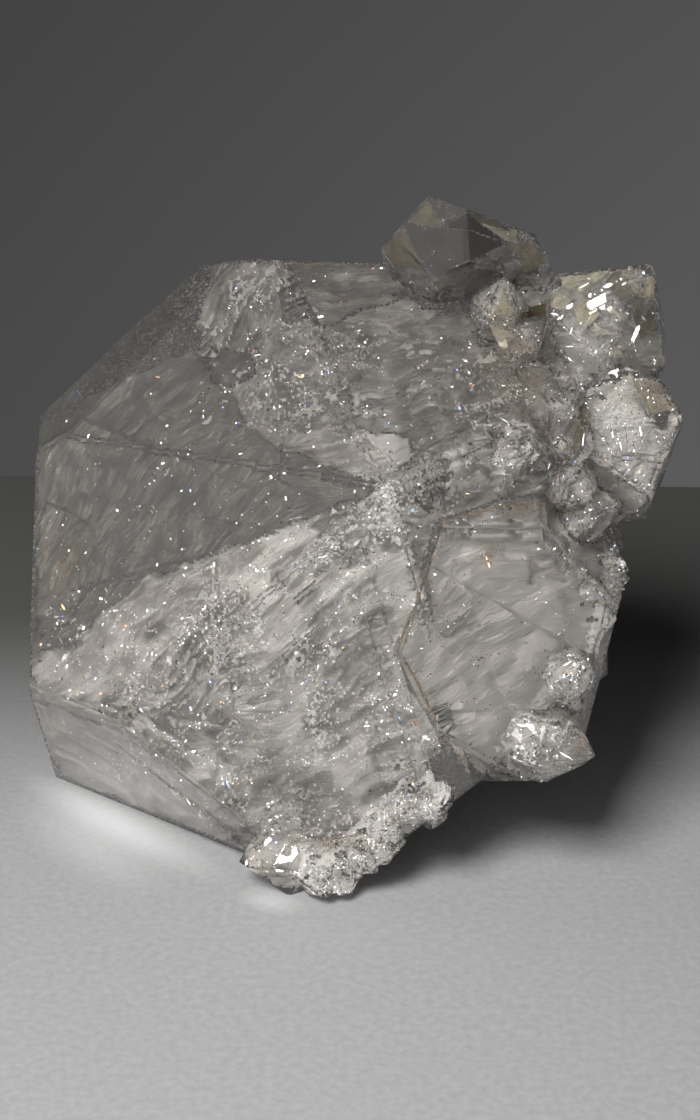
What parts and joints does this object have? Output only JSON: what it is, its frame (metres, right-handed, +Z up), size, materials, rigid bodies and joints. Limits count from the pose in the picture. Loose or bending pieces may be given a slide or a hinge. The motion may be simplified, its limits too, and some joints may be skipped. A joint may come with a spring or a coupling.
{
  "type": "herkimer diamond cluster",
  "caption": "Milky, doubly terminated quartz crystal lying on one of its faces, with clear and smoky quartz crystals and fine druse grown into its side.",
  "frame": {"origin": "on the plane that the cluster rests on, under the middle of its bounding box", "axes": "+Z up; +X to the side with the small crystals; -Y out of the large crystal's front"},
  "size_m": [0.099, 0.078, 0.095],
  "materials": {
    "quartz": "glossy crystal faces over milky, flawed quartz"
  },
  "bodies": {
    "root": {"crystal_cluster": "quartz"}
  },
  "joints": []
}
